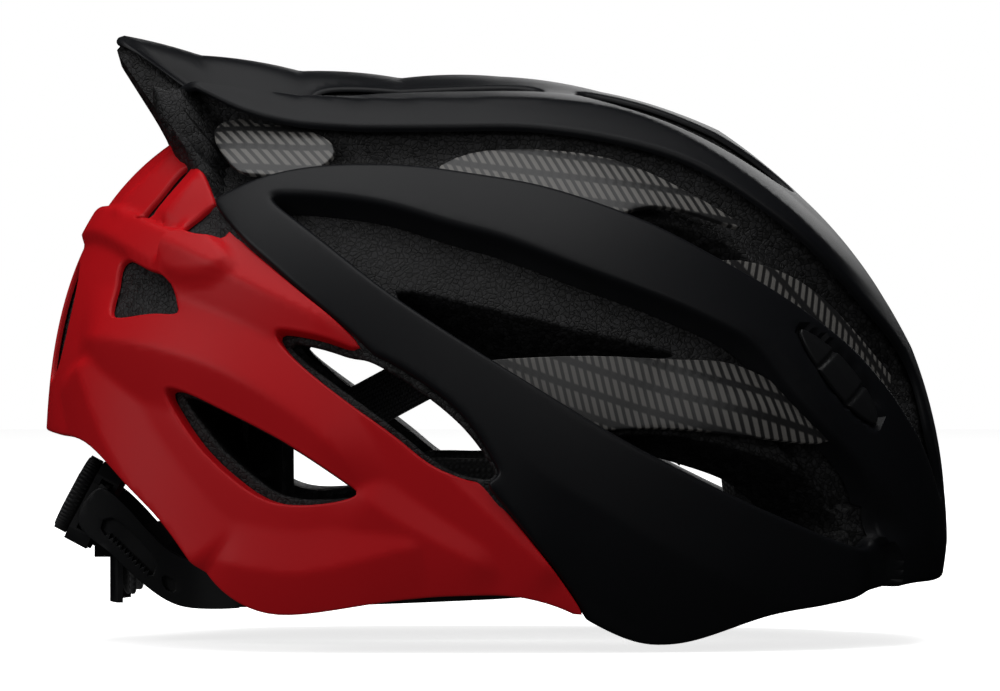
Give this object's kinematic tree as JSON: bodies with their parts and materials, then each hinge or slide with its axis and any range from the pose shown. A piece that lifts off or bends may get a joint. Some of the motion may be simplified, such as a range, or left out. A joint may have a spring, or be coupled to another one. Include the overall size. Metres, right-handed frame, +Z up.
{
  "type": "cycling helmet",
  "caption": "Ventilated road cycling helmet with a foam liner in a two-part hard shell, tail fins, channel panels, a dial-tightened head cradle and a buckled strap.",
  "frame": {"origin": "middle of the bounding box in plan, on the plane the ear flaps rest on", "axes": "+X towards the brow, +Y to the wearer's left, +Z up towards the crown"},
  "size_m": [0.2885, 0.2078, 0.193],
  "materials": {
    "black_shell": "matte",
    "red_shell": "satin matte",
    "foam": "beaded foam",
    "carbon": "satin twill",
    "trim": "satin",
    "pad": "soft knit",
    "webbing": "woven",
    "fit_plastic": "satin",
    "dial_rubber": "matte",
    "steel": "plated"
  },
  "bodies": {
    "helmet": {"black_shell": "black_shell", "tail_fin": "black_shell", "side_fin_left": "black_shell", "side_fin_right": "black_shell", "red_shell": "red_shell", "foam_liner": "foam", "carbon_upper_left": "carbon", "carbon_upper_right": "carbon", "carbon_front_left": "carbon", "carbon_front_right": "carbon", "carbon_side_left": "carbon", "carbon_side_right": "carbon", "carbon_tail_left": "carbon", "carbon_tail_right": "carbon", "rib_insert_left": "trim", "rib_insert_right": "trim", "brow_pad": "pad", "crown_pad": "pad", "side_pad_left": "pad", "side_pad_right": "pad", "strap_front_left": "webbing", "strap_front_right": "webbing", "strap_rear_left": "webbing", "strap_rear_right": "webbing", "chin_strap_left": "webbing", "chin_strap_right": "webbing", "temple_anchor_left": "fit_plastic", "temple_anchor_right": "fit_plastic", "height_track_left": "fit_plastic", "height_track_right": "fit_plastic", "strap_divider_left": "fit_plastic", "strap_divider_right": "fit_plastic", "buckle_socket": "fit_plastic"},
    "cradle": {"dial_housing": "fit_plastic", "housing_cover": "fit_plastic", "housing_screws": "steel", "yoke": "fit_plastic", "nape_pad_left": "pad", "nape_pad_right": "pad", "detent_ring": "fit_plastic"},
    "dial": {"dial_wheel": "dial_rubber", "dial_cap": "fit_plastic", "dial_screw": "steel", "pinion": "fit_plastic"},
    "band_left": {"band_left": "fit_plastic"},
    "band_right": {"band_right": "fit_plastic"},
    "lever_left": {"cam_lever_left": "fit_plastic"},
    "lever_right": {"cam_lever_right": "fit_plastic"},
    "plug": {"buckle_plug": "fit_plastic"}
  },
  "joints": [
    {"name": "height_setting", "type": "hinge", "parent": "helmet", "child": "cradle", "pos_m": [0.045, 0, 0.024], "axis": [0, -1, 0], "range_deg": [0, 6]},
    {"name": "dial_turn", "type": "hinge", "parent": "cradle", "child": "dial", "pos_m": [-0.133, 0, 0.0459], "axis": [0.8829, 0, -0.4695], "range_deg": [0, 98]},
    {"name": "band_left_slide", "type": "slide", "parent": "cradle", "child": "band_left", "axis": [0, -1, 0], "range_m": [0, 0.006]},
    {"name": "band_right_slide", "type": "slide", "parent": "cradle", "child": "band_right", "axis": [0, 1, 0], "range_m": [0, 0.006]},
    {"name": "lever_left_turn", "type": "hinge", "parent": "helmet", "child": "lever_left", "pos_m": [0.0088, 0.05174, 0.09415], "axis": [0.9982, -0.0481, -0.0349], "range_deg": [0, 60]},
    {"name": "lever_right_turn", "type": "hinge", "parent": "helmet", "child": "lever_right", "pos_m": [0.0088, -0.05174, 0.09415], "axis": [-0.9982, -0.0481, 0.0349], "range_deg": [0, 60]},
    {"name": "buckle_release", "type": "slide", "parent": "helmet", "child": "plug", "axis": [0, -1, 0], "range_m": [0, 0.012]}
  ],
  "couplings": [
    {"joint": "band_left_slide", "follows": "dial_turn", "m_per_rad": 0.0035},
    {"joint": "band_right_slide", "follows": "dial_turn", "m_per_rad": 0.0035}
  ]
}
